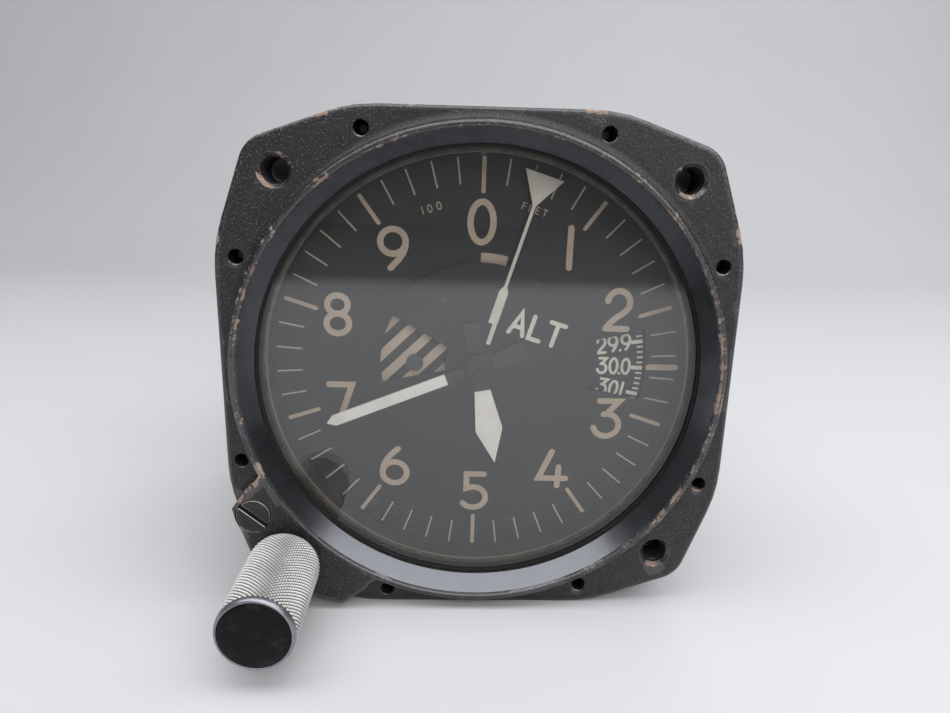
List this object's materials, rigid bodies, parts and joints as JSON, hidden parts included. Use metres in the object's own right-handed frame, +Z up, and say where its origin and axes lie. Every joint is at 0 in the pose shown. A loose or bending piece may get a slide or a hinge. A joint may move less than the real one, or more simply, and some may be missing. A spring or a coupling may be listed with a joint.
{
  "type": "aircraft altimeter",
  "caption": "Panel-mounted three-pointer pressure altimeter with a square flange, round case, glass cover, setting knob and a geared aneroid mechanism.",
  "frame": {"origin": "on the dial axis, in the plane of the flange's front face, which seats against the rear of the panel", "axes": "+X right and +Z up as the dial is read, +Y from the panel into the instrument"},
  "size_m": [0.0826, 0.1103, 0.0826],
  "materials": {
    "black_casting": "satin wrinkle paint, worn to primer and metal on the edges",
    "black_steel": "satin black",
    "black_metal": "matt black",
    "dial_black": "matt black print",
    "hand_white": "matt white paint",
    "cover_glass": "polished",
    "seal_rubber": "matt",
    "brown_gasket": "fibrous, dusty",
    "plate_aluminium": "machined",
    "knob_aluminium": "knurled",
    "cap_black": "satin",
    "clock_brass": "brushed",
    "screw_steel": "turned",
    "spring_steel": "blued",
    "jewel": "polished",
    "bimetal": "rolled",
    "capsule_copper": "spun"
  },
  "bodies": {
    "body": {"bezel_frame": "black_casting", "glass_seal": "seal_rubber", "cover_glass": "cover_glass", "glass_gasket": "brown_gasket", "dial_spacer": "black_metal", "dial": "dial_black", "dial_screws": "black_steel", "front_plate": "plate_aluminium", "middle_plate": "clock_brass", "rear_plate": "clock_brass", "front_pillars": "clock_brass", "rear_pillars": "clock_brass", "pivot_jewels": "jewel", "case_gasket": "seal_rubber", "case_shell": "black_casting", "case_screws": "black_steel", "static_port_insert": "clock_brass", "lock_screw": "black_steel", "knob_bushing": "clock_brass", "knob_seal": "seal_rubber", "setting_idler_stud": "screw_steel", "thousand_idler_stud": "screw_steel", "ten_thousand_idler_stud": "screw_steel", "hairspring": "spring_steel", "hairspring_stud": "clock_brass", "upper_capsule": "capsule_copper", "lower_capsule": "capsule_copper", "capsule_nut": "screw_steel", "capsule_bracket": "plate_aluminium", "bracket_screws": "screw_steel"},
    "hundred_foot": {"hundred_hand": "hand_white", "hub_cap": "dial_black", "centre_arbor": "screw_steel"},
    "thousand_foot": {"thousand_hand": "hand_white", "thousand_sleeve": "clock_brass", "thousand_wheel": "clock_brass"},
    "ten_thousand_foot": {"ten_thousand_disc": "dial_black", "ten_thousand_sleeve": "clock_brass", "ten_thousand_wheel": "clock_brass"},
    "thousand_idler": {"thousand_idler_pinion": "screw_steel", "thousand_idler_wheel": "clock_brass"},
    "ten_thousand_idler": {"ten_thousand_idler_pinion": "screw_steel", "ten_thousand_idler_wheel": "clock_brass"},
    "intermediate": {"intermediate_arbor": "screw_steel", "intermediate_wheel": "clock_brass", "hairspring_collet": "clock_brass"},
    "rocking": {"rocking_shaft": "screw_steel", "sector_gear": "clock_brass", "bimetal_lever": "bimetal"},
    "link": {"capsule_link": "screw_steel"},
    "scale": {"pressure_scale": "dial_black"},
    "setting_gear": {"setting_idler": "clock_brass"},
    "knob": {"knob_body": "knob_aluminium", "knob_cap": "cap_black", "knob_screw": "screw_steel", "knob_shaft": "screw_steel", "knob_pinion": "clock_brass"}
  },
  "joints": [
    {"name": "link_lift", "type": "slide", "parent": "body", "child": "link", "axis": [0, 0, 1], "range_m": [-0.00103, 0.00278], "stiffness_N_per_m": 8000, "deforming": ["upper_capsule", "lower_capsule"]},
    {"name": "rocking_turn", "type": "hinge", "parent": "body", "child": "rocking", "pos_m": [0.004, 0, 0.02366], "axis": [0, 1, 0], "range_deg": [-11.85, 31.89]},
    {"name": "intermediate_turn", "type": "hinge", "parent": "body", "child": "intermediate", "pos_m": [0.01443, 0, 0.00748], "axis": [0, 1, 0], "range_deg": [-459.26, 170.68], "deforming": ["hairspring"]},
    {"name": "hundred_turn", "type": "hinge", "parent": "body", "child": "hundred_foot", "pos_m": [0, 0, 0], "axis": [0, 1, 0], "range_deg": [-2048.1, 5511.1]},
    {"name": "thousand_idler_turn", "type": "hinge", "parent": "body", "child": "thousand_idler", "pos_m": [-0.00987, 0, -0.00359], "axis": [0, 1, 0], "range_deg": [-2204.44, 819.24]},
    {"name": "thousand_turn", "type": "hinge", "parent": "body", "child": "thousand_foot", "pos_m": [0, 0, 0], "axis": [0, 1, 0], "range_deg": [-204.81, 551.11]},
    {"name": "ten_thousand_idler_turn", "type": "hinge", "parent": "body", "child": "ten_thousand_idler", "pos_m": [0.00804, 0, -0.00675], "axis": [0, 1, 0], "range_deg": [-220.44, 81.92]},
    {"name": "ten_thousand_turn", "type": "hinge", "parent": "body", "child": "ten_thousand_foot", "pos_m": [0, 0, 0], "axis": [0, 1, 0], "range_deg": [-20.48, 55.11]},
    {"name": "scale_turn", "type": "hinge", "parent": "body", "child": "scale", "pos_m": [0, 0, 0], "axis": [0, 1, 0], "range_deg": [-96, 182]},
    {"name": "setting_gear_turn", "type": "hinge", "parent": "body", "child": "setting_gear", "pos_m": [-0.02342, 0, -0.02734], "axis": [0, 1, 0], "range_deg": [-910.06, 480.06]},
    {"name": "knob_turn", "type": "hinge", "parent": "body", "child": "knob", "pos_m": [-0.03143, 0, -0.03143], "axis": [0, 1, 0], "range_deg": [-960.11, 1820.11]}
  ],
  "couplings": [
    {"joint": "rocking_turn", "follows": "link_lift", "rad_per_m": 200},
    {"joint": "intermediate_turn", "follows": "link_lift", "rad_per_m": -2880},
    {"joint": "hundred_turn", "follows": "link_lift", "rad_per_m": 34560},
    {"joint": "thousand_idler_turn", "follows": "link_lift", "rad_per_m": -13824},
    {"joint": "thousand_turn", "follows": "link_lift", "rad_per_m": 3456},
    {"joint": "ten_thousand_idler_turn", "follows": "link_lift", "rad_per_m": -1382.4},
    {"joint": "ten_thousand_turn", "follows": "link_lift", "rad_per_m": 345.6},
    {"joint": "setting_gear_turn", "follows": "scale_turn", "ratio": -5},
    {"joint": "knob_turn", "follows": "scale_turn", "ratio": 10}
  ]
}
